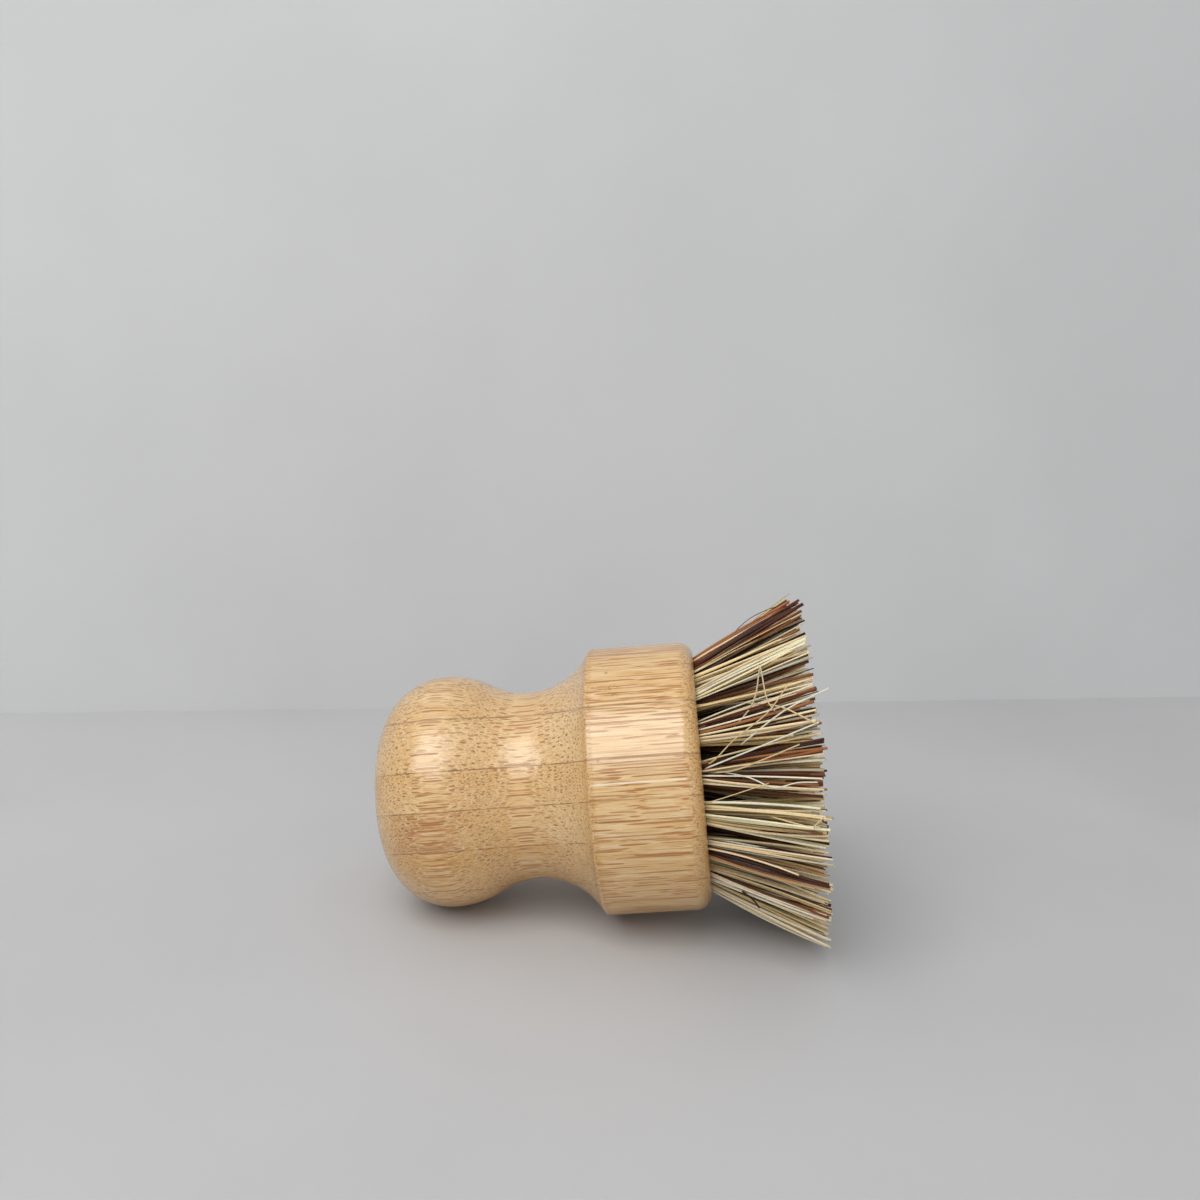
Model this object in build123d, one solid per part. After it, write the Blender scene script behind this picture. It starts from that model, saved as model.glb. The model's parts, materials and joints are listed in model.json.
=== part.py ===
from build123d import *
from math import asin, atan, atan2, cos, degrees, hypot, pi, radians, sin, sqrt, tan
import os

# A round dish brush: a turned bamboo handle with a knob, a waist and a wide head,
# and 37 leaning tufts of stiff plant fibre. Each tuft is folded over a flat wire
# anchor and driven into a blind hole. Lengths are in millimetres and angles in
# degrees. Everything is drawn about the X axis, from the end of the knob to the
# bristle tips, and then laid on its side the way the brush rests on a table.

# Handle, from the end of the knob to the face that carries the bristles
knob_length = 14.7
belly_diameter = 47.1
belly_to_waist = 17.3
waist_diameter = 38.0
waist_to_shoulder = 13.5
head_diameter = 54.0
rim_length = 21.05
crown_turn = 16.0  # how far the flat end turns before its rounder side begins
belly_share = 0.55  # of the two turning radii between belly and waist
shoulder_rounding = 0.8
face_rounding = 3.05

# Flat-bottomed blind holes in the face, in rings about a centre hole
ring_counts = (1, 6, 12, 18)
ring_turn_shares = (0.0, 0.5, 0.5, 0.5)  # of one step round each ring
rim_margin = 5.55  # from the rim in to the centres of the outer holes
hole_diameter = 4.2
hole_depth = 11.0

# Flat wire anchors, each pressed across the bottom of its hole
wire_thickness = 0.45
wire_width = 1.9
wire_bite = 0.3
wire_fit = 0.1

# Tufts: a packed root in the hole and a fan of strands with trimmed tips
bristle_reach = 21.35
tuft_splay = 2.92  # how much the pitch of the rings grows from the holes to the tips
root_fit = 0.1
root_side_count = 8
root_recess = 0.5
fold_depth = 1.5
fold_slope = 1.1
strand_counts = (3, 9)
strand_root_radii = (0.56, 1.28)
strand_tip_radii = (1.6, 4.1)
strand_hold = 1.6
strand_root_corner = 0.36
strand_tip_corner = 0.6
tip_scatter = 0.5
tip_unevenness = 1.1
bristle_press = 0.5  # how far the lowest tips yield to the table
strand_side_count = 4

# Room for a cut to run out of the wood
cut_overrun = 3.0

# Stations along the axis
belly_station = knob_length
waist_station = belly_station + belly_to_waist
shoulder_station = waist_station + waist_to_shoulder
face_station = shoulder_station + rim_length
tip_station = face_station + bristle_reach

belly_radius = belly_diameter / 2
waist_radius = waist_diameter / 2
head_radius = head_diameter / 2
hole_radius = hole_diameter / 2
hole_pitch = (head_radius - rim_margin) / (len(ring_counts) - 1)
tip_pitch = hole_pitch + tuft_splay
golden_turn = pi * (3 - sqrt(5))

# The knob's end is a flat crown and a rounder side, two arcs that share a tangent.
# Both follow from the knob's length, its radius and where the crown ends.
crown_cos = cos(radians(crown_turn))
crown_sin = sin(radians(crown_turn))
crown_share = crown_cos + crown_sin - 1
crown_radius = (belly_radius * crown_cos - belly_station * (1 - crown_sin)) / crown_share
side_radius = (belly_station * crown_sin - belly_radius * (1 - crown_cos)) / crown_share

# The table touches the side of the knob and the lowest tips, which yield a little
lowest_tuft = tip_pitch * (len(ring_counts) - 1) * cos(pi / ring_counts[-1])
lowest_tip = lowest_tuft + strand_tip_radii[-1] + strand_tip_corner - bristle_press
touch_drop = lowest_tip - (belly_radius - side_radius)
touch_run = tip_station - belly_station
rest_tilt = atan2(touch_drop, touch_run) - asin(side_radius / hypot(touch_drop, touch_run))


def table_depth(station):
    """Distance from the axis down to the table, at a station along the axis."""
    return lowest_tip - (tip_station - station) * tan(rest_tilt)


def around(station, radius, turn):
    """A point at a radius and at an angle, in radians, round the axis from straight up."""
    return Vector(station, radius * sin(turn), radius * cos(turn))


def handle_blank():
    """The turned handle before drilling, with its two edges eased."""
    crown_end = (crown_radius * (1 - crown_cos), crown_radius * crown_sin)
    belly = (belly_station, belly_radius)
    waist = (waist_station, waist_radius)
    shoulder = (shoulder_station, head_radius)
    face_edge = (face_station, head_radius)
    neck_drop = belly_radius - waist_radius
    neck_turn = 2 * atan(neck_drop / belly_to_waist)
    neck_bend = (
        belly_station + belly_share * belly_to_waist,
        belly_radius - belly_share * neck_drop,
    )
    crown = TangentArc((0, 0), crown_end, tangent=(0, 1))
    side = TangentArc(crown_end, belly, tangent=crown % 1)
    belly_arc = TangentArc(belly, neck_bend, tangent=(1, 0))
    waist_arc = TangentArc(neck_bend, waist, tangent=(cos(neck_turn), -sin(neck_turn)))
    flare = TangentArc(waist, shoulder, tangent=(1, 0))
    ends = Polyline(shoulder, face_edge, (face_station, 0), (0, 0))
    section = make_face([crown, side, belly_arc, waist_arc, flare, ends])
    for corner, rounding in ((shoulder, shoulder_rounding), (face_edge, face_rounding)):
        section = fillet(section.vertices().sort_by_distance(corner)[0], rounding)
    return revolve(section, Axis.X)


def tuft_planes():
    """For each ring, one plane per tuft at its hole's mouth, with Z along the tuft."""
    rings = []
    for ring, count in enumerate(ring_counts):
        planes = []
        for place in range(count):
            turn = 2 * pi * (place + ring_turn_shares[ring]) / count
            mouth = around(face_station, ring * hole_pitch, turn)
            tips = around(tip_station, ring * tip_pitch, turn)
            planes.append(Plane(mouth, x_dir=around(0, 1, turn), z_dir=tips - mouth))
        rings.append(planes)
    return rings


# The wire lies across the hole on edge, above the fold of the bristles
wire_height = root_fit + fold_depth + wire_width / 2 - hole_depth


def wire_block(fit):
    """The flat wire in its hole, with room all round for a cut."""
    length = hole_diameter + 2 * wire_bite + 2 * fit
    return Pos(0, 0, wire_height) * Box(wire_thickness + 2 * fit, length, wire_width + 2 * fit)


def hole_cut():
    """What the drill and the wire's ends take from the wood, at the mouth's plane."""
    on_top = (Align.CENTER, Align.CENTER, Align.MIN)
    bore = Pos(0, 0, -hole_depth) * Cylinder(hole_radius, hole_depth + cut_overrun, align=on_top)
    return bore + wire_block(wire_fit)


def packed_root():
    """The folded root of a tuft, faceted, with a slot where the wire passes."""
    radius = hole_radius - root_fit
    base = root_fit - hole_depth
    prism = extrude(Pos(0, 0, base) * RegularPolygon(radius, root_side_count), cut_overrun - base)
    fold = Polyline(
        (-radius, cut_overrun),
        (-radius, base + fold_slope),
        (fold_slope - radius, base),
        (radius - fold_slope, base),
        (radius, base + fold_slope),
        (radius, cut_overrun),
        close=True,
    )
    folded = prism & extrude(Plane.XZ * make_face(fold), radius, both=True)
    return folded - wire_block(wire_fit)


def strand(root, tip, turn):
    """One straight strand that thickens a little from its root to its cut tip."""
    corners = []
    for step in range(strand_side_count):
        angle = turn + 2 * pi * step / strand_side_count
        corners.append(root + around(0, strand_root_corner, angle))
        corners.append(tip + around(0, strand_tip_corner, angle))
    return ConvexPolyhedron(corners)


def scatter(number):
    """An even spread of values from -0.5 to 0.5, one for each whole number."""
    return number * golden_turn / (2 * pi) % 1 - 0.5


def tuft(plane, root, number):
    """A packed root and its fan of strands. No two strands cross, because the pattern
    at the tips is the pattern at the roots, spread out."""
    seated = plane.location * root
    trimmed = split(seated, Plane.YZ.offset(face_station - root_recess), Keep.BOTTOM)
    lean = plane.z_dir
    strands = []
    for ring, count in enumerate(strand_counts):
        for place in range(count):
            order = len(strands) + number * sum(strand_counts)
            turn = number * golden_turn + 2 * pi * (place + ring / 2) / count
            reach = bristle_reach - tip_unevenness * (scatter(order) + 0.5)
            radius = strand_tip_radii[ring] + tip_scatter * scatter(order + number)
            foot = plane.origin - lean * (strand_hold / lean.X)
            foot += around(0, strand_root_radii[ring], turn)
            tip = plane.origin + lean * (reach / lean.X) + around(0, radius, turn)
            tip.Z = max(tip.Z, strand_tip_corner - table_depth(tip.X))
            strands.append(strand(foot, tip, turn))
    return trimmed.fuse(*strands)


# Build every piece about the X axis
rings = tuft_planes()
hole = hole_cut()
cuts = [plane.location * hole for planes in rings for plane in planes]
pieces = {"handle": handle_blank() - cuts}
ring_names = ("centre", "inner", "middle", "outer")
root = packed_root()
number = 0
for name, planes in zip(ring_names, rings):
    wires = [plane.location * wire_block(0) for plane in planes]
    pieces[f"anchors_{name}"] = Compound(wires)
    for place, plane in enumerate(planes, 1):
        pieces[f"tuft_{name}_{place:02d}"] = tuft(plane, root, number)
        number += 1

# Lay the brush on its side, with the table at zero height under its middle
lean_back = Rot(0, -degrees(rest_tilt), 0)
box = Compound([solid for piece in pieces.values() for solid in (lean_back * piece).solids()])
box = box.bounding_box()
rest = Pos(-box.center().X, -box.center().Y, -box.min.Z) * lean_back

os.makedirs("parts", exist_ok=True)
for name, piece in pieces.items():
    export_step(rest * piece, f"parts/{name}.step")

# The interfaces: the cylinder of the head's rim and the narrowest place of the waist
rim = pieces["handle"].faces().filter_by(GeomType.CYLINDER).sort_by(SortBy.AREA)[-1]
rim = rim.bounding_box()
print("rim length", round(rim.size.X, 3), "centre", (rest * Pos(rim.center().X, 0, 0)).position)
print("waist centre", (rest * Pos(waist_station, 0, 0)).position)
print("rest tilt", round(degrees(rest_tilt), 3), "box", box.size)
print("tufts", number, "strands", number * sum(strand_counts))
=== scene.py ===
import json
import math
import random

import bpy
from mathutils import Matrix, Vector


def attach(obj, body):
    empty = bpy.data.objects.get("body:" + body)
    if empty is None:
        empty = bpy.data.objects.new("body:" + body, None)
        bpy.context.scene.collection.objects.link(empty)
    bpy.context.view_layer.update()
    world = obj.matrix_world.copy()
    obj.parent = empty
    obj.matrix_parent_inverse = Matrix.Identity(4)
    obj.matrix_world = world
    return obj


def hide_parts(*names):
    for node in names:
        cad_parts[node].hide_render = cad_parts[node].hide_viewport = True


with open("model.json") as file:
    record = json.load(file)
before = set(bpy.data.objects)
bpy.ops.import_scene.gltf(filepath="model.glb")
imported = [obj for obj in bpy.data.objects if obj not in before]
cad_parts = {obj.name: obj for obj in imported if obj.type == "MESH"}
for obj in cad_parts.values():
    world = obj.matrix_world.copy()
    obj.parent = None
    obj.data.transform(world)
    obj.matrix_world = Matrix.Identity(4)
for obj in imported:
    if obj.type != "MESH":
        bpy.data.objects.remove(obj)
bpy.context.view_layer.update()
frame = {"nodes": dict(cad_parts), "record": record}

# Handle
# One piece turned from a block of bamboo strips glued in flat layers, then sanded and
# given a thin satin lacquer. The strips' fibre bundles all run along the brush, so they
# show as long streaks where the surface is parallel to it and as dots on every slope.
MM = 0.001
RIM_STATION = 54.73 * MM  # middle of the straight rim, from the end of the knob
rim = next(mount for mount in frame["record"]["mounts"] if mount["name"] == "head_rim")
axis = -Vector(rim["axis"]).normalized()
side = Vector((0, 1, 0))
knob_end = Vector(rim["pos_m"]) - axis * RIM_STATION
brush_turn = Matrix((axis, side, axis.cross(side))).transposed()
brush_place = Matrix.Translation(knob_end) @ brush_turn.to_4x4()
brush_tilt = math.atan2(axis.z, axis.x)


def add_node(tree, kind, inputs=None, **settings):
    """Adds a shader node, with its settings and what feeds or sets its inputs."""
    made = tree.nodes.new(kind)
    for name, value in settings.items():
        setattr(made, name, value)
    for name, value in (inputs or {}).items():
        if isinstance(value, bpy.types.NodeSocket):
            tree.links.new(value, made.inputs[name])
        else:
            made.inputs[name].default_value = value
    return made


def calculate(tree, operation, *values):
    """One step of arithmetic in a material."""
    return add_node(tree, "ShaderNodeMath", dict(enumerate(values)), operation=operation).outputs[0]


def gather(tree, operation, *values):
    """The same step of arithmetic over a row of values."""
    result = values[0]
    for value in values[1:]:
        result = calculate(tree, operation, result, value)
    return result


def vector_step(tree, operation, *values):
    """One step of arithmetic with vectors; a scale comes after its vector."""
    places = (0, "Scale") if operation == "SCALE" else (0, 1)
    made = add_node(tree, "ShaderNodeVectorMath", dict(zip(places, values)), operation=operation)
    return made.outputs["Value" if operation in ("DOT_PRODUCT", "DISTANCE") else "Vector"]


def remap(tree, value, low, high, start=0.0, end=1.0, curve="SMOOTHSTEP"):
    """Carries a value from one span to another and holds it at the ends."""
    numbers = {"Value": value, "From Min": low, "From Max": high, "To Min": start, "To Max": end}
    return add_node(tree, "ShaderNodeMapRange", numbers, interpolation_type=curve).outputs[0]


def noise(tree, place, detail=2.0, roughness=0.5):
    """A cloudy pattern between 0 and 1, one cell to a unit of its place."""
    return add_node(tree, "ShaderNodeTexNoise", {
        "Vector": place, "Scale": 1.0, "Detail": detail, "Roughness": roughness,
    }).outputs[0]


def stretched(tree, place, along, across):
    """A place with its own scale along the brush and across it."""
    scale = (along, across, across)
    return add_node(tree, "ShaderNodeMapping", {"Vector": place, "Scale": scale}).outputs[0]


def blend_colour(tree, share, first, second, how="MIX"):
    """Mixes two colours by a share."""
    made = add_node(tree, "ShaderNodeMix", data_type="RGBA", blend_type=how)
    for place, value in ((0, share), (6, first), (7, second)):
        if isinstance(value, bpy.types.NodeSocket):
            tree.links.new(value, made.inputs[place])
        else:
            made.inputs[place].default_value = (*value, 1.0) if place else value
    return made.outputs[2]


def laid_over(tree, colour, added, *shares):
    """Lays a second colour over a first one, by the product of some shares."""
    return blend_colour(tree, gather(tree, "MULTIPLY", *shares), colour, added)


def new_material(name):
    """An empty material with its Principled shader and its node tree."""
    made = bpy.data.materials.new(name)
    made.use_nodes = True
    return made, made.node_tree, made.node_tree.nodes["Principled BSDF"]


# The block, in millimetres: how far it is turned about the brush, how far it reaches from
# the brush's middle, and its layers from the lowest up. A layer has its top, then tone and
# richness in bundles at its bottom and at its top, and how fine its bundles are.
BLOCK_TURN = math.radians(20.9)
BLOCK_REACH = 27.0
# The lowest layers take the deepest tone, partly the block's own and partly painted shade on the
# underside
LAYERS = (
    (-19.75, 0.95, 0.60, 0.90, 0.60, 1.1),
    (-11.8, 0.95, 0.45, 0.75, 0.60, 1.1),
    (-4.3, 0.55, 0.30, 0.60, 0.50, 1.1),
    (3.25, 0.45, 0.60, 0.60, 1.00, 1.3),
    (13.3, 0.25, 0.25, 0.45, 1.15, 1.0),
    (20.9, 0.40, 0.70, 0.45, 0.90, 1.1),
    (27.1, 0.50, 0.70, 0.50, 0.90, 1.1),
)
LAYER_BLEND = 0.05
SEAM_FADE = (0.03, 0.14)  # from a glue line's middle, where it starts and ends to fade
JOINT_REACH = 5.0  # how far off the middle the joint of a layer's two strips may lie
CANE_JUMP = 61.0  # sets the patterns of two strips far apart
BUNDLE_WANDER = 1.0  # how far a bundle strays from a straight line
SHOULDER_STATION = 45.6
SHOULDER_FADE = (0.4, 1.5)
FACE_EDGE_STATIONS = (63.0, 64.8)  # where the burnish of the face's edge starts and is full
GROWTH_NODE_STATION = 13.5
GROWTH_NODE_FADE = (3.0, 9.5)
GROWTH_NODE_LAYER = 2  # counted from 0
RIM_STATIONS = (44.8, 46.5)  # where the long fibres of the rim start and are full
RIM_GROOVES = (-19.3, -11.0, -8.2, -0.9, 2.4, 12.7)  # heights in the block of long sunk fibres
GROOVE_HALF_WIDTH = 0.18
RIM_GLINT_HEIGHT = -1.3  # and of one pale line, a painted highlight along the lit lip of a groove
GLINT_HALF_WIDTH = 0.24
# Pits and one scuff, by their places in millimetres from the end of the knob. A pit has its
# reach as well.
PITS = ((47.7, -24.0, 12.4, 0.42), (49.6, -9.7, 25.2, 0.5), (47.0, -13.5, 23.4, 0.35))
SCUFF = (51.0, -14.2, 23.0)
SCUFF_FADE = (0.9, 2.1)
BAMBOO_PALE = (0.79, 0.54, 0.26)
BAMBOO_DEEP = (0.66, 0.35, 0.088)
BAMBOO_STREAK = (0.44, 0.155, 0.014)
BAMBOO_PORE = (0.38, 0.15, 0.022)
BAMBOO_SHEATH = (0.82, 0.62, 0.36)
# a pale line painted on the rim as a highlight
BAMBOO_PAINTED_GLINT = (0.95, 0.82, 0.62)
BAMBOO_SEAM = (0.27, 0.095, 0.015)
BAMBOO_NODE = (0.45, 0.18, 0.03)
BAMBOO_BURNISH = (0.60, 0.32, 0.09)


def bamboo_finish():
    """Laminated bamboo, worked out in millimetres along and across the brush."""
    material, tree, shader = new_material("laminated_bamboo")
    place = add_node(tree, "ShaderNodeTexCoord").outputs
    turned_back = Matrix.Rotation(brush_tilt, 3, "Y") @ knob_end / MM
    laid = add_node(tree, "ShaderNodeMapping", {
        "Vector": place["Object"],
        "Location": -turned_back,
        "Rotation": (0, brush_tilt, 0),
        "Scale": (1 / MM,) * 3,
    }).outputs[0]
    block_turn = {"Vector": laid, "Rotation": (BLOCK_TURN, 0, 0)}
    block = add_node(tree, "ShaderNodeMapping", block_turn).outputs[0]
    along, across, up = add_node(tree, "ShaderNodeSeparateXYZ", {0: block}).outputs

    # The layers' tone, richness and fineness, each held across its layer by two stops
    height_share = remap(tree, up, -BLOCK_REACH, BLOCK_REACH, curve="LINEAR")
    layer_ramp = add_node(tree, "ShaderNodeValToRGB", {"Fac": height_share})
    stops = layer_ramp.color_ramp.elements
    seam_gaps = []
    bottom = -BLOCK_REACH
    for number, (top, low_tone, low_rich, high_tone, high_rich, fineness) in enumerate(LAYERS):
        low = (bottom + LAYER_BLEND, low_tone, low_rich)
        high = (top - LAYER_BLEND, high_tone, high_rich)
        for end, (height, tone, rich) in enumerate((low, high)):
            spot = min((height + BLOCK_REACH) / (2 * BLOCK_REACH), 1.0)
            if (number, end) == (0, 0):
                stop = stops[0]
            elif (number, end) == (len(LAYERS) - 1, 1):
                stop = stops[-1]
            else:
                stop = stops.new(spot)
            stop.position = spot
            stop.color = (tone, rich, number / len(LAYERS), fineness / 2)
        if top < BLOCK_REACH:
            seam_gaps.append(calculate(tree, "ABSOLUTE", calculate(tree, "SUBTRACT", up, top)))
        bottom = top
    layer_parts = add_node(tree, "ShaderNodeSeparateColor", {0: layer_ramp.outputs[0]})
    tone, rich, layer = layer_parts.outputs
    fineness = calculate(tree, "MULTIPLY", layer_ramp.outputs["Alpha"], 2.0)
    layer_key = calculate(tree, "ROUND", calculate(tree, "MULTIPLY", layer, float(len(LAYERS))))

    # The joint between the two strips of a layer, and the glue lines round every strip
    joint_draw = add_node(tree, "ShaderNodeTexWhiteNoise", {"W": layer_key}, noise_dimensions="1D")
    joint_place = remap(tree, joint_draw.outputs[0], 0, 1, -JOINT_REACH, JOINT_REACH, "LINEAR")
    joint = calculate(tree, "SUBTRACT", across, joint_place)
    seam_gaps.append(calculate(tree, "ABSOLUTE", joint))
    seam = remap(tree, gather(tree, "MINIMUM", *seam_gaps), *SEAM_FADE, 1.0, 0.0)
    strip_side = calculate(tree, "SIGN", joint)
    strip_key = add_node(tree, "ShaderNodeCombineXYZ", {0: layer_key, 1: strip_side}).outputs[0]
    cane = add_node(tree, "ShaderNodeTexWhiteNoise", {"Vector": strip_key}).outputs

    # A growth node of the cane: a browner patch on the knob, in one strip, rich in bundles
    node_way = calculate(tree, "ABSOLUTE", calculate(tree, "SUBTRACT", along, GROWTH_NODE_STATION))
    node_patch = gather(
        tree, "MULTIPLY",
        remap(tree, node_way, *GROWTH_NODE_FADE, 1.0, 0.0),
        calculate(tree, "COMPARE", layer_key, GROWTH_NODE_LAYER, 0.1),
        calculate(tree, "LESS_THAN", across, 0.0),
    )
    rich = calculate(tree, "ADD", rich, calculate(tree, "MULTIPLY", node_patch, 0.7))

    # Where the bundles lie: straight along the brush, but slowly nearer to its axis or farther
    drift = noise(tree, stretched(tree, block, 0.06, 0.12), 1.0)
    wander = remap(tree, drift, 0, 1, -BUNDLE_WANDER, BUNDLE_WANDER, "LINEAR")
    off_axis = add_node(tree, "ShaderNodeCombineXYZ", {1: across, 2: up}).outputs[0]
    strayed = vector_step(tree, "SCALE", vector_step(tree, "NORMALIZE", off_axis), wander)
    jump = vector_step(tree, "SCALE", cane["Color"], CANE_JUMP)
    section = vector_step(tree, "ADD", vector_step(tree, "ADD", block, strayed), jump)
    _, section_across, section_up = add_node(tree, "ShaderNodeSeparateXYZ", {0: section}).outputs
    flat = add_node(tree, "ShaderNodeCombineXYZ", {0: section_across, 1: section_up}).outputs[0]

    # How far the surface turns away from the brush: streaks where it doesn't, pores where it does
    facing = calculate(tree, "ABSOLUTE", vector_step(tree, "DOT_PRODUCT", place["Normal"], axis))
    slope = remap(tree, facing, 0.03, 0.25)
    flared = calculate(tree, "MULTIPLY", slope, remap(tree, along, 34.0, 42.0))
    end_grain = remap(tree, facing, 0.45, 0.95)

    def bundles(per_mm, core, soft, richness):
        """Masks of the dark vessels of one size of bundle, and of the pale sheath round them."""
        cells = add_node(tree, "ShaderNodeTexVoronoi", {
            "Vector": flat,
            "Scale": calculate(tree, "MULTIPLY", fineness, per_mm),
            "Randomness": 0.7,
        }, voronoi_dimensions="2D").outputs
        chance, strength, _ = add_node(tree, "ShaderNodeSeparateColor", {0: cells["Color"]}).outputs
        there = remap(tree, calculate(tree, "SUBTRACT", richness, chance), -0.1, 0.1)
        core = calculate(tree, "MULTIPLY", there, core)
        gap = calculate(tree, "SUBTRACT", cells["Distance"], core)
        dark = remap(tree, gap, -soft, soft, 1.0, 0.0)
        ring = calculate(tree, "ABSOLUTE", calculate(tree, "SUBTRACT", gap, 2 * soft))
        sheath = remap(tree, ring, 0.0, 2 * soft, 1.0, 0.0)
        strength = remap(tree, strength, 0, 1, 0.6, 1.0, "LINEAR")
        return [gather(tree, "MULTIPLY", mask, there, strength) for mask in (dark, sheath)]

    coarse_core = remap(tree, slope, 0, 1, 0.26, 0.235)
    coarse, coarse_sheath = bundles(per_mm=1.25, core=coarse_core, soft=0.05, richness=rich)
    fine, fine_sheath = bundles(per_mm=2.3, core=0.22, soft=0.11, richness=0.8)

    # Tone: from layer to layer, with painted shade in the lowest layers, along the grain, in broad
    # clouds, and paler on the flare
    grain = noise(tree, stretched(tree, section, 0.09, 2.6), 3.0, 0.65)
    cloud = noise(tree, stretched(tree, block, 0.05, 0.12))
    cane_tone = add_node(tree, "ShaderNodeSeparateColor", {0: cane["Color"]}).outputs[0]
    deep = gather(
        tree, "ADD", tone,
        remap(tree, cane_tone, 0, 1, -0.12, 0.12, "LINEAR"),
        remap(tree, grain, 0.3, 0.7, -0.30, 0.30, "LINEAR"),
        remap(tree, cloud, 0.3, 0.7, -0.25, 0.25),
        calculate(tree, "MULTIPLY", end_grain, 0.05),
        calculate(tree, "MULTIPLY", flared, -0.3),
    )
    colour = blend_colour(tree, remap(tree, deep, 0, 1, curve="LINEAR"), BAMBOO_PALE, BAMBOO_DEEP)

    node_mottle = noise(tree, stretched(tree, section, 0.3, 1.1), 3.0)
    node_share = remap(tree, node_mottle, 0.35, 0.65, 0.35, 0.9)
    colour = laid_over(tree, colour, BAMBOO_NODE, node_patch, node_share)

    # Crisp orange fibres with pale ones between them, clearest where the cut runs along them
    lines = noise(tree, stretched(tree, section, 0.07, 2.2), 1.0)
    dark_line = remap(tree, lines, 0.59, 0.62)
    pale_line = remap(tree, lines, 0.42, 0.38)
    pale_share = remap(tree, slope, 0, 1, 0.6, 0.25)
    dark_share = remap(tree, slope, 0, 1, 0.9, 0.25)
    colour = laid_over(tree, colour, BAMBOO_SHEATH, pale_line, pale_share)
    colour = laid_over(tree, colour, BAMBOO_STREAK, dark_line, dark_share)

    # Long straight fibres on the rim: some sunk and dark, and one pale line of painted highlight
    rim_share = remap(tree, slope, 0, 0.5, 1.0, 0.0)
    on_rim = calculate(tree, "MULTIPLY", remap(tree, along, *RIM_STATIONS), rim_share)

    def fibre_at(height, half_width):
        """Where one long fibre lies, on the rim alone."""
        gap = calculate(tree, "ABSOLUTE", calculate(tree, "SUBTRACT", up, height))
        spread = remap(tree, gap, half_width * 0.4, half_width, 1.0, 0.0)
        return calculate(tree, "MULTIPLY", spread, on_rim)

    groove_break = remap(tree, noise(tree, stretched(tree, block, 0.12, 0.4)), 0.36, 0.5)
    grooves = [fibre_at(height, GROOVE_HALF_WIDTH) for height in RIM_GROOVES]
    groove = calculate(tree, "MULTIPLY", gather(tree, "MAXIMUM", *grooves), groove_break)
    painted_glint = fibre_at(RIM_GLINT_HEIGHT, GLINT_HALF_WIDTH)
    colour = laid_over(tree, colour, BAMBOO_STREAK, groove, 0.85)

    # The bundles: pale sheaths, then the vessels in them, and the painted highlight line over both
    weak_sheath = calculate(tree, "MULTIPLY", fine_sheath, 0.5)
    sheaths = calculate(tree, "MAXIMUM", coarse_sheath, weak_sheath)
    colour = laid_over(tree, colour, BAMBOO_SHEATH, sheaths, 0.75)
    vessel = blend_colour(tree, slope, BAMBOO_STREAK, BAMBOO_PORE)
    colour = laid_over(tree, colour, vessel, fine, remap(tree, slope, 0, 1, 0.35, 0.5))
    colour = laid_over(tree, colour, vessel, coarse, remap(tree, slope, 0, 1, 0.9, 0.85))
    colour = laid_over(tree, colour, BAMBOO_PAINTED_GLINT, painted_glint, 0.8)

    # Both edges of the head are burnished by the lathe tool and stippled with open pores
    shoulder_way = calculate(tree, "ABSOLUTE", calculate(tree, "SUBTRACT", along, SHOULDER_STATION))
    shoulder = remap(tree, shoulder_way, *SHOULDER_FADE, 1.0, 0.0)
    edges = calculate(tree, "MAXIMUM", shoulder, remap(tree, along, *FACE_EDGE_STATIONS))
    colour = laid_over(tree, colour, BAMBOO_BURNISH, edges, 0.35)
    speckle = noise(tree, stretched(tree, section, 2.4, 3.6), 2.0, 0.6)
    open_pores = calculate(tree, "MAXIMUM", edges, calculate(tree, "MULTIPLY", slope, 0.5))
    pore_share = remap(tree, open_pores, 0, 1, 0.08, 0.65)
    colour = laid_over(tree, colour, BAMBOO_PORE, remap(tree, speckle, 0.52, 0.62), pore_share)

    # Small pits and one scuffed place near the top of the rim
    scuff = remap(tree, vector_step(tree, "DISTANCE", laid, SCUFF), *SCUFF_FADE, 1.0, 0.0)
    nicks = noise(tree, vector_step(tree, "SCALE", laid, 1.5), 1.0)
    marks = [calculate(tree, "MULTIPLY", scuff, remap(tree, nicks, 0.55, 0.62))]
    for *centre, reach in PITS:
        pit_way = vector_step(tree, "DISTANCE", laid, tuple(centre))
        marks.append(remap(tree, pit_way, reach * 0.4, reach, 1.0, 0.0))
    damage = gather(tree, "MAXIMUM", *marks)
    colour = laid_over(tree, colour, BAMBOO_PORE, damage, 0.6)

    # The glue lines, broken here and there, and darker on the slopes
    seam_break = noise(tree, stretched(tree, block, 0.5, 0.2))
    seam_share = gather(
        tree, "MULTIPLY", seam,
        remap(tree, seam_break, 0.38, 0.62, 0.1, 0.8),
        remap(tree, slope, 0, 1, 0.45, 1.0),
    )
    seam_colour = blend_colour(tree, slope, BAMBOO_STREAK, BAMBOO_SEAM)
    colour = laid_over(tree, colour, seam_colour, seam_share)
    tree.links.new(colour, shader.inputs["Base Color"])

    # The lacquer, duller in the vessels
    grain_dullness = remap(tree, grain, 0.3, 0.7, 0.42, 0.56)
    vessel_dullness = calculate(tree, "MULTIPLY", coarse, 0.12)
    dullness = calculate(tree, "ADD", grain_dullness, vessel_dullness)
    tree.links.new(dullness, shader.inputs["Roughness"])
    shader.inputs["Specular IOR Level"].default_value = 0.3
    shader.inputs["Coat Weight"].default_value = 1.0
    shader.inputs["Coat Roughness"].default_value = 0.24
    shader.inputs["Coat IOR"].default_value = 1.6

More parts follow.
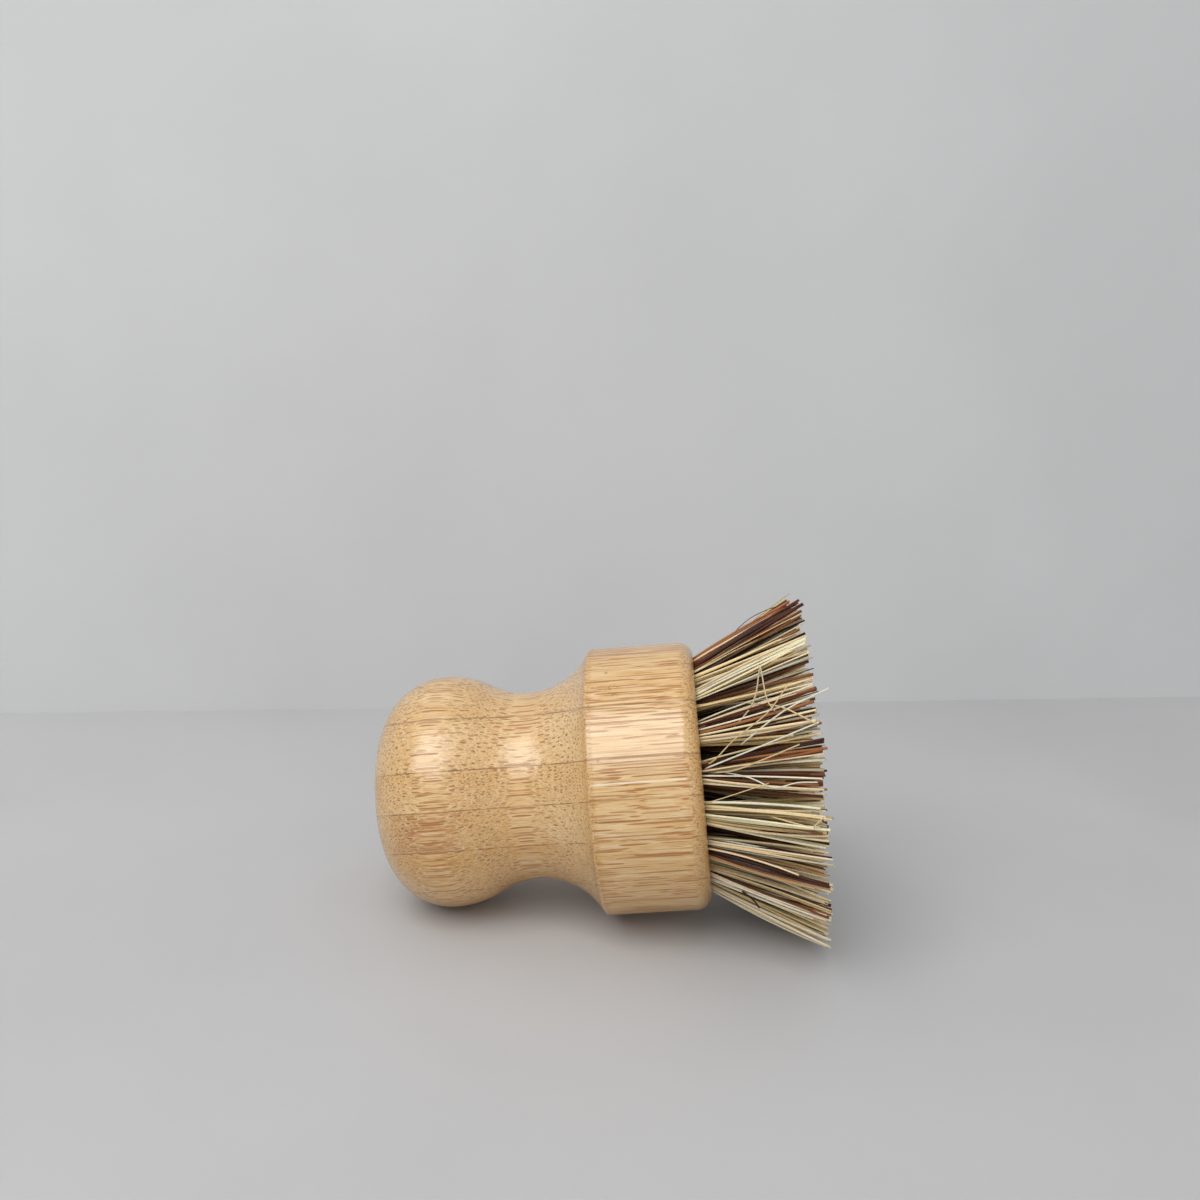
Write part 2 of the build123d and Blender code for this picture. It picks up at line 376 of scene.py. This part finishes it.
    # The relief: the grain stands up a little, and every dark mark is sunk
    vessels = calculate(tree, "MAXIMUM", coarse, calculate(tree, "MULTIPLY", fine, 0.5))
    relief = gather(
        tree, "ADD",
        calculate(tree, "MULTIPLY", vessels, -1.0),
        calculate(tree, "MULTIPLY", seam_share, -0.15),
        calculate(tree, "MULTIPLY", dark_line, -0.6),
        calculate(tree, "MULTIPLY", calculate(tree, "MAXIMUM", groove, damage), -1.0),
        calculate(tree, "MULTIPLY", grain, 0.8),
        calculate(tree, "MULTIPLY", speckle, 0.7),
    )
    bump = add_node(tree, "ShaderNodeBump", {
        "Height": relief, "Strength": 0.85, "Distance": 0.1 * MM,
    })
    tree.links.new(bump.outputs[0], shader.inputs["Normal"])
    return material


handle = frame["nodes"]["handle"]
handle.data.materials.clear()
handle.data.materials.append(bamboo_finish())
for face in handle.data.polygons:
    face.use_smooth = True


# Anchors
# Short lengths of flat galvanised wire, driven on edge across the bottom of each hole.
# They hold the folded tufts and are out of sight once the tufts are in.
ZINC_DARK = (0.42, 0.42, 0.41)
ZINC_PALE = (0.62, 0.62, 0.60)


def wire_finish():
    """Dull zinc-coated wire with drawing marks along it."""
    material, tree, shader = new_material("flat_anchor_wire")
    place = add_node(tree, "ShaderNodeTexCoord")
    marks = noise(tree, stretched(tree, place.outputs["Object"], 600.0, 4000.0), 3.0)
    tree.links.new(blend_colour(tree, marks, ZINC_DARK, ZINC_PALE), shader.inputs["Base Color"])
    tree.links.new(remap(tree, marks, 0.3, 0.7, 0.35, 0.6), shader.inputs["Roughness"])
    shader.inputs["Metallic"].default_value = 1.0
    return material


wire = wire_finish()
for name in ("centre", "inner", "middle", "outer"):
    anchors = frame["nodes"]["anchors_" + name]
    anchors.data.materials.clear()
    anchors.data.materials.append(wire)


# Tufts
# 37 bunches of stiff plant fibre, pale straw-like ones mixed with thicker red-brown
# ones. Each bunch is folded in its hole, fans out in use and is trimmed level.
FACE_STATION = 66.55 * MM
TIP_STATION = 87.9 * MM
RING_COUNTS = (1, 6, 12, 18)
RING_TURN_SHARES = (0.0, 0.5, 0.5, 0.5)
HOLE_PITCH = 7.15 * MM
TIP_PITCH = 10.07 * MM
BUNCH_ROOT = 1.8 * MM  # a tuft's radius in its hole
BUNCH_SPREADS = (5.8, 5.6, 5.3, 4.7)  # of each ring's tufts; the inner ones fill the bunch
ROOT_DEPTH = 2.2 * MM  # how far inside the face its fibres start
FIBRES_IN_TUFT = 52
GOLDEN_TURN = math.pi * (3 - math.sqrt(5))
WISPS = 7
HEART_SHARE = 0.4  # of a tuft's radius; the fibres within it make a wisp of their own
CORE_SHARE = 0.7  # of a tuft's radius; the fibres within it are the inner ones
BROWN_ODDS = (0.66, 0.3, 0.06)  # in a brown wisp, inside a pale one and outside it; brown fibres are real, and the raised odds inside also paint shade in a tuft's core
BROWN_LEAN = 0.9  # how much the brown wisps keep to their side
# Fibre thicknesses, chance shifts outwards and round the brush, and what trimming leaves or
# takes, all in millimetres
BROWN_THICKNESS = (0.45, 0.85)
STRAW_THICKNESS = (0.38, 0.62)
THIN_THICKNESS = (0.2, 0.3)
THIN_ODDS = 0.1
WISP_SHIFTS = (0.85, 1.2)
TIP_SHIFTS = (0.6, 0.75)
BOW_SHIFTS = (0.28, 0.28)
OUTWARD_BOW = 0.25
WISP_TRIM = (-0.5, 0.5)
FIBRE_TRIM = (-0.6, 0.4)
SHORT_BY = (1.0, 6.0)
SHORT_ODDS = 0.07
FAN_SHARES = (0.8, 1.1)  # of the spread, for single fibres
FLATNESS = (0.6, 1.0)
FIBRE_SIDES = 6
FIBRE_STEPS = 6
FIBRE_TAPER = 0.15
TABLE_GAP_SHARE = 0.55  # of a fibre's thickness, from the table to its middle
ROOT_SHADE_REACH = 0.8  # of a fibre's length, over which its painted root shade fades into its full colour
ROOT_SHADE_CURVE = 1.5
FIBRE_LIGHT = (0.86, 1.12)
LIGHTEST = 0.94
INNER_PAINTED_SHADE = 0.62  # painted shade on the fibres inside a tuft, where the outer fibres shade them
INNER_ROOT_SHADE = 0.3  # and painted shade at their roots, as a share of that at the roots outside
STRAW_COLOURS = (
    (0.96, 0.81, 0.54), (0.93, 0.74, 0.43), (0.89, 0.65, 0.31), (0.84, 0.67, 0.42),
    (0.98, 0.87, 0.67),
)
BROWN_COLOURS = (
    (0.33, 0.11, 0.035), (0.44, 0.17, 0.065), (0.18, 0.054, 0.02), (0.12, 0.034, 0.014),
    (0.06, 0.02, 0.01),
)
# For each outer tuft, from straight up towards the back: the share of brown wisps, the
# side that they are on in degrees from the outer side in the same sense, and how far in
# millimetres the tuft is bent outwards
OUTER_TUFTS = (
    (0.8, 0, 0), (0.4, 90, 0), (0.5, -90, 0.4), (0.4, 0, 0), (0.5, 180, 0.3), (0.4, 90, 0),
    (0.4, -90, 0), (0.5, 0, 0.3), (0.3, 90, 0), (0.1, 180, 0.9), (0.05, 180, 1.4),
    (0.15, -90, 0.9), (0.3, -60, 0), (0.2, -110, 0), (0.6, -20, 0), (0.2, 100, 0),
    (0.12, 60, 0), (0.45, 30, 0),
)
INNER_TUFT = (0.7, 0, 0)
ROOT_PAINTED_SHADES = (0.25, 0.25, 0.25, 0.9)  # painted shade at each ring's roots, deepest in the inner rings between the tufts


def around(station, radius, turn):
    """A point of the brush at a station, and round the axis from straight up."""
    return Vector((station, radius * math.sin(turn), radius * math.cos(turn)))


def add_fibre(mesh, route, thickness, flatness, colour, root_shade, chance):
    """Adds one tapered fibre, kept above the table, along a route to a bunch's lists."""
    route = [brush_place @ point for point in route]
    for point in route:
        point.z = max(point.z, thickness * TABLE_GAP_SHARE)
    first = len(mesh["points"])
    out = (route[1] - route[0]).orthogonal().normalized()
    out.rotate(Matrix.Rotation(chance.uniform(0, math.tau), 3, (route[1] - route[0]).normalized()))
    for step, point in enumerate(route):
        ahead = (route[min(step + 1, len(route) - 1)] - route[max(step - 1, 0)]).normalized()
        out = (out - ahead * out.dot(ahead)).normalized()
        beside = ahead.cross(out)
        radius = thickness / 2 * (1.0 - FIBRE_TAPER * step / len(route))
        for corner in range(FIBRE_SIDES):
            angle = math.tau * corner / FIBRE_SIDES
            offset = out * math.cos(angle) + beside * (math.sin(angle) * flatness)
            mesh["points"].append(point + offset * radius)
        # Painted shade: the fibre's colour darkens towards its root, down to its root shade
        lit = min(step / (len(route) - 1) / ROOT_SHADE_REACH, 1.0) ** ROOT_SHADE_CURVE
        shade = root_shade + (1 - root_shade) * lit
        mesh["tones"] += [tuple(part * shade for part in colour)] * FIBRE_SIDES
    for step in range(len(route) - 1):
        here = first + step * FIBRE_SIDES
        ahead = here + FIBRE_SIDES
        for corner in range(FIBRE_SIDES):
            after = (corner + 1) % FIBRE_SIDES
            mesh["faces"].append((here + corner, here + after, ahead + after, ahead + corner))
            mesh["cut"].append(0)
    last = first + (len(route) - 1) * FIBRE_SIDES
    tip_cut = tuple(range(last, last + FIBRE_SIDES))
    root_cut = tuple(reversed(range(first, first + FIBRE_SIDES)))
    mesh["faces"] += [tip_cut, root_cut]
    mesh["cut"] += [1, 1]


def bunch_piece(name, mesh, materials):
    """Turns the lists of a bunch into an object."""
    data = bpy.data.meshes.new(name)
    data.from_pydata(mesh["points"], [], mesh["faces"])
    data.polygons.foreach_set("material_index", mesh["cut"])
    data.polygons.foreach_set("use_smooth", [not cut for cut in mesh["cut"]])
    tones = data.attributes.new("fibre_tone", "FLOAT_COLOR", "POINT")
    tones.data.foreach_set("color", [part for tone in mesh["tones"] for part in (*tone, 1.0)])
    for material in materials:
        data.materials.append(material)
    piece = bpy.data.objects.new(name, data)
    bpy.context.scene.collection.objects.link(piece)
    return piece


def fibre_colour(brown, chance):
    """A fibre's own colour, a little off one of the usual ones."""
    colour = chance.choice(BROWN_COLOURS if brown else STRAW_COLOURS)
    light = chance.uniform(*FIBRE_LIGHT)
    return tuple(min(part * light * chance.uniform(0.98, 1.02), LIGHTEST) for part in colour)


def fibre_streak_group():
    """Fine streaks along a dry fibre, as a shade for its colour and as a relief."""
    group = bpy.data.node_groups.new("fibre_streaks", "ShaderNodeTree")
    for name, flow, kind in (
        ("Low", "INPUT", "NodeSocketFloat"),
        ("High", "INPUT", "NodeSocketFloat"),
        ("Shade", "OUTPUT", "NodeSocketColor"),
        ("Streak", "OUTPUT", "NodeSocketFloat"),
    ):
        group.interface.new_socket(name, in_out=flow, socket_type=kind)
    start = group.nodes.new("NodeGroupInput").outputs
    finish = group.nodes.new("NodeGroupOutput").inputs
    laid = add_node(group, "ShaderNodeMapping", {
        "Vector": add_node(group, "ShaderNodeTexCoord").outputs["Object"],
        "Rotation": (0, brush_tilt, 0),
        "Scale": (60, 5200, 5200),
    }).outputs[0]
    streak = noise(group, laid)
    shade = remap(group, streak, 0.3, 0.7, start["Low"], start["High"])
    grey = add_node(group, "ShaderNodeCombineColor", {0: shade, 1: shade, 2: shade}).outputs[0]
    group.links.new(grey, finish["Shade"])
    group.links.new(streak, finish["Streak"])
    return group


fibre_streaks = fibre_streak_group()


def fibre_finish(name, low, high):
    """Dry plant fibre in its own colour, with fine streaks; darker on a cut end."""
    material, tree, shader = new_material(name)
    own = add_node(tree, "ShaderNodeAttribute", attribute_name="fibre_tone").outputs["Color"]
    streaks = add_node(tree, "ShaderNodeGroup", node_tree=fibre_streaks)
    streaks.inputs["Low"].default_value = low
    streaks.inputs["High"].default_value = high
    streaked = blend_colour(tree, 1.0, own, streaks.outputs["Shade"], "MULTIPLY")
    tree.links.new(streaked, shader.inputs["Base Color"])
    dullness = remap(tree, streaks.outputs["Streak"], 0.3, 0.7, 0.42, 0.62)
    tree.links.new(dullness, shader.inputs["Roughness"])
    shader.inputs["Specular IOR Level"].default_value = 0.25
    bump = add_node(tree, "ShaderNodeBump", {
        "Height": streaks.outputs["Streak"], "Strength": 0.4, "Distance": 0.04 * MM,
    })
    tree.links.new(bump.outputs[0], shader.inputs["Normal"])
    return material


def grow_tuft(root_radius, tip_radius, spread, turn, brown_share, brown_side, root_shade, chance):
    """One tuft: a packed round bunch at its hole, in wisps that fan out to trimmed tips."""
    mesh = {"points": [], "faces": [], "cut": [], "tones": []}
    mouth = around(FACE_STATION, root_radius, turn)
    tips = around(TIP_STATION, tip_radius, turn)
    lean = (tips - mouth).normalized()
    outward = around(0, 1, turn)
    onward = around(0, 1, turn + math.pi / 2)

    def shifted(reaches):
        """A chance shift outwards and round the brush."""
        shift = outward * chance.gauss(0, reaches[0]) + onward * chance.gauss(0, reaches[1])
        return shift * MM

    twist = chance.uniform(0, math.tau)
    wisps = []
    for number in range(WISPS + 1):
        middle = twist + math.tau * (number - 0.5) / WISPS
        odds = brown_share * (1 + BROWN_LEAN * math.cos(middle - brown_side) * (number > 0))
        drift = shifted(WISP_SHIFTS)
        wisps.append((chance.random() < odds, drift, chance.uniform(*WISP_TRIM) * MM))
    for place in range(FIBRES_IN_TUFT):
        share = math.sqrt((place + 0.5) / FIBRES_IN_TUFT)
        angle = twist + place * GOLDEN_TURN % math.tau
        sector = int((angle - twist) / math.tau * WISPS) % WISPS
        brown_wisp, drift, wisp_trim = wisps[0 if share < HEART_SHARE else 1 + sector]
        inner = share < CORE_SHARE
        brown = chance.random() < BROWN_ODDS[0 if brown_wisp else 1 if inner else 2]
        thickness = chance.uniform(*(BROWN_THICKNESS if brown else STRAW_THICKNESS)) * MM
        if chance.random() < THIN_ODDS:
            thickness = chance.uniform(*THIN_THICKNESS) * MM
        way = outward * math.cos(angle) + onward * math.sin(angle)
        foot = mouth - lean * ROOT_DEPTH + way * (share * BUNCH_ROOT)
        end = tips + way * (share * spread * chance.uniform(*FAN_SHARES)) + drift
        end += shifted(TIP_SHIFTS)
        trim = wisp_trim + chance.uniform(*FIBRE_TRIM) * MM
        if chance.random() < SHORT_ODDS:
            trim -= chance.uniform(*SHORT_BY) * MM
        end = foot.lerp(end, 1 + trim / (TIP_STATION - FACE_STATION))
        bow = shifted(BOW_SHIFTS) + way * (share * OUTWARD_BOW * MM)
        route = []
        for step in range(FIBRE_STEPS + 1):
            part = step / FIBRE_STEPS
            route.append(foot.lerp(end, part) + bow * (4 * part * (1 - part)))
        colour = fibre_colour(brown, chance)
        # Painted shade: a fibre inside the tuft is darkened all along, and more towards its root
        if inner:
            colour = tuple(part * INNER_PAINTED_SHADE for part in colour)
        shade = root_shade * (INNER_ROOT_SHADE if inner else 1.0)
        add_fibre(mesh, route, thickness, chance.uniform(*FLATNESS), colour, shade, chance)
    return mesh


fibre = fibre_finish("plant_fibre", 0.90, 1.08)
fibre_end = fibre_finish("plant_fibre_cut_end", 0.40, 0.62)
for ring, name in enumerate(("centre", "inner", "middle", "outer")):
    for place in range(RING_COUNTS[ring]):
        node = f"tuft_{name}_{place + 1:02d}"
        turn = math.tau * (place + RING_TURN_SHARES[ring]) / RING_COUNTS[ring]
        brown_share, brown_side, bend = OUTER_TUFTS[place] if name == "outer" else INNER_TUFT
        chance = random.Random(1000 * ring + place)
        mesh = grow_tuft(
            ring * HOLE_PITCH, ring * TIP_PITCH + bend * MM, BUNCH_SPREADS[ring] * MM, turn,
            brown_share, math.radians(brown_side), ROOT_PAINTED_SHADES[ring], chance,
        )
        tuft = bunch_piece("bristles_" + node, mesh, (fibre, fibre_end))
        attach(tuft, "root")
        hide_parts(node)


# Stray fibres
# A few loose fibres that sprang out of their tufts and lie across them, as the photograph
# shows on its side. Each starts between the tufts and runs just off their outer side.
BRISTLE_EDGE = (23.3, 34.9)  # the bunch's radius at the face and at the tips
STRAYS = (
    # thickness, brown, then station, turn and lift off the other fibres along its route
    (0.36, False, (
        (66.0, 292, -2), (69.0, 295, 0.4), (73.0, 302, 0.6), (79.0, 308.5, 0.7),
        (83.0, 316, 0.5),
    )),
    (0.38, False, ((66.0, 291, -2), (69.0, 293, 0.3), (78.0, 298, 0.5), (87.6, 302, 0.6))),
    (0.38, False, ((66.0, 290, -2), (72.0, 290, 0.3), (77.5, 293, 0.5), (84.0, 296.5, 0.5))),
    (0.36, False, (
        (72.0, 306, -1.5), (76.8, 314, 0.4), (78.6, 325.5, 1.2), (78.9, 325, 1.2),
        (79.3, 314, 0.6), (80.5, 309, 0.0),
    )),
    (0.36, False, ((76.0, 317, -1.5), (81.6, 309.5, 0.6), (87.2, 301.5, 0.8))),
    (0.36, False, ((74.0, 300, -1.0), (82.0, 308, 0.5), (90.0, 311, 0.8))),
    (0.24, False, ((66.0, 275, -2), (68.0, 277.5, 0.4), (78.2, 285, 0.6))),
    (0.30, False, (
        (70.0, 290, -1.5), (75.0, 287, -0.3), (79.0, 283.5, 0.3), (83.0, 285, 0.3),
        (86.4, 285, 0.2),
    )),
    (0.36, False, ((74.0, 274, -1.5), (83.9, 271.5, 0.3), (85.2, 272, 0.6), (86.8, 275, 0.8))),
    (0.42, True, ((72.3, 229, -0.4), (74.4, 227.5, 0.2), (75.3, 223.5, 0.5))),
    (0.18, True, ((70.0, 24, -2), (76.8, 14, 0.5), (80.8, 8, 0.8), (84.5, 359, 0.8))),
    (0.30, False, ((66.0, 38, -2), (76.0, 30, 0.5), (84.0, 22, 0.6), (87.5, 18, 0.8))),
    (0.36, False, ((66.0, 92, -2), (75.0, 99, 0.5), (83.0, 108, 0.6), (87.5, 112, 0.4))),
    (0.32, True, ((66.0, 145, -2), (77.0, 137, 0.5), (87.5, 128, 0.5))),
)
STRAY_SHADE = 0.8
chance = random.Random(77)
strays = {"points": [], "faces": [], "cut": [], "tones": []}
for thickness, brown, stops in STRAYS:
    corners = []
    for station, turn, lift in stops:
        share = (station * MM - FACE_STATION) / (TIP_STATION - FACE_STATION)
        radius = BRISTLE_EDGE[0] + share * (BRISTLE_EDGE[1] - BRISTLE_EDGE[0]) + lift
        corners.append(around(station * MM, radius * MM, math.radians(turn)))
    corners = [corners[0] * 2 - corners[1], *corners, corners[-1] * 2 - corners[-2]]
    route = []
    for step in range(len(stops) - 1):
        before, start, stop, beyond = corners[step:step + 4]
        for part in (0, 0.25, 0.5, 0.75):
            left = 1 - part
            ease = ((stop - before) * left - (beyond - start) * part) * (0.5 * part * left)
            route.append(start.lerp(stop, part * part * (3 - 2 * part)) + ease)
    route.append(corners[-2])
    colour = tuple(part * STRAY_SHADE for part in fibre_colour(brown, chance))
    add_fibre(strays, route, thickness * MM, 0.8, colour, 1.0, chance)
stray_piece = bunch_piece("stray_fibres", strays, (fibre, fibre_end))
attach(stray_piece, "root")


# Floor and wall
# The stage: a pale plain table top that runs back to a plain pale wall, with nothing on
# either. Both are matt, with a faint mottle.
FLOOR_COLOUR = (0.53, 0.53, 0.537)
WALL_COLOUR = (0.65, 0.655, 0.66)
WALL_LEFT = Vector((-182.3, 99.7, 0)) * MM
WALL_RIGHT = Vector((206.8, 200.8, 0)) * MM
WALL_OVERRUN = 3.0
WALL_HEIGHT = 3.0
TABLE_DEPTH = 4.0
MOTTLES_PER_METRE = 9.0
MOTTLE_DARK_SHARE = 0.94


def mottle_group():
    """A faint cloudy mottle between two shades of one colour."""
    group = bpy.data.node_groups.new("plaster_mottle", "ShaderNodeTree")
    for name, flow, kind in (
        ("Place", "INPUT", "NodeSocketVector"),
        ("Light", "INPUT", "NodeSocketColor"),
        ("Dark", "INPUT", "NodeSocketColor"),
        ("Colour", "OUTPUT", "NodeSocketColor"),
    ):
        group.interface.new_socket(name, in_out=flow, socket_type=kind)
    start = group.nodes.new("NodeGroupInput").outputs
    finish = group.nodes.new("NodeGroupOutput").inputs
    clouds = noise(group, vector_step(group, "SCALE", start["Place"], MOTTLES_PER_METRE), 4.0)
    mottled = blend_colour(group, remap(group, clouds, 0.3, 0.7), start["Dark"], start["Light"])
    group.links.new(mottled, finish["Colour"])
    return group


plaster = mottle_group()


def plain_sheet(name, corners, colour):
    """A large flat sheet for the stage, in a matt colour with a faint mottle."""
    data = bpy.data.meshes.new(name)
    data.from_pydata(corners, [], [(0, 1, 2, 3)])
    material, tree, shader = new_material(name + "_finish")
    place = add_node(tree, "ShaderNodeTexCoord").outputs["Object"]
    light, dark = (*colour, 1.0), (*(part * MOTTLE_DARK_SHARE for part in colour), 1.0)
    mottle = add_node(tree, "ShaderNodeGroup", node_tree=plaster)
    tree.links.new(place, mottle.inputs["Place"])
    mottle.inputs["Light"].default_value = light
    mottle.inputs["Dark"].default_value = dark
    tree.links.new(mottle.outputs["Colour"], shader.inputs["Base Color"])
    shader.inputs["Roughness"].default_value = 0.6
    data.materials.append(material)
    piece = bpy.data.objects.new(name, data)
    bpy.context.scene.collection.objects.link(piece)


wall_way = (WALL_RIGHT - WALL_LEFT).normalized()
left = WALL_LEFT - wall_way * WALL_OVERRUN
right = WALL_RIGHT + wall_way * WALL_OVERRUN
forward = wall_way.cross(Vector((0, 0, 1))) * TABLE_DEPTH
upward = Vector((0, 0, WALL_HEIGHT))
plain_sheet("table_top", [left + forward, right + forward, right, left], FLOOR_COLOUR)
plain_sheet("wall", [left, right, right + upward, left + upward], WALL_COLOUR)


# Light
# One large soft window light from the upper left in front, softer ones overhead and
# from the right, and an even pale fill.
LIGHTS = (
    # name, direction from the brush, distance and size in metres, power in watts
    ("window", (-0.30, -0.55, 0.78), 1.1, 0.85, 8.0),
    ("ceiling", (0.1, 0.0, 1.0), 1.6, 2.0, 3.0),
    ("room", (0.55, -0.75, 0.35), 1.6, 2.0, 6.0),
)
FILL_STRENGTH = 0.33
for name, way, distance, size, power in LIGHTS:
    way = Vector(way).normalized()
    light_data = bpy.data.lights.new(name, "AREA")
    light_data.size = size
    light_data.energy = power
    light = bpy.data.objects.new(name, light_data)
    light.location = way * distance
    light.rotation_euler = (-way).to_track_quat("-Z", "Y").to_euler()
    bpy.context.scene.collection.objects.link(light)
world = bpy.data.worlds.new("room")
bpy.context.scene.world = world
world.use_nodes = True
fill = world.node_tree.nodes["Background"].inputs
fill["Color"].default_value = (1.0, 1.0, 1.0, 1.0)
fill["Strength"].default_value = FILL_STRENGTH
bpy.context.scene.view_settings.view_transform = "Standard"


# Camera
# A close view from the front, a little above the brush, as the photograph was taken. Its
# place and lens were fitted together with the handle's outline.
CAMERA_PLACE = Vector((8.918, -223.782, 111.258)) * MM
CAMERA_TURNS = (78.463, -2.596, 3.381)  # in degrees, about X, Y and Z
LENS = 34.28
SENSOR_WIDTH = 36.0
NEAREST_SEEN = 0.01
camera_data = bpy.data.cameras.new("camera")
camera_data.sensor_width = SENSOR_WIDTH
camera_data.lens = LENS
camera_data.clip_start = NEAREST_SEEN
camera = bpy.data.objects.new("camera", camera_data)
camera.location = CAMERA_PLACE
camera.rotation_euler = [math.radians(turn) for turn in CAMERA_TURNS]
bpy.context.scene.collection.objects.link(camera)
bpy.context.scene.camera = camera
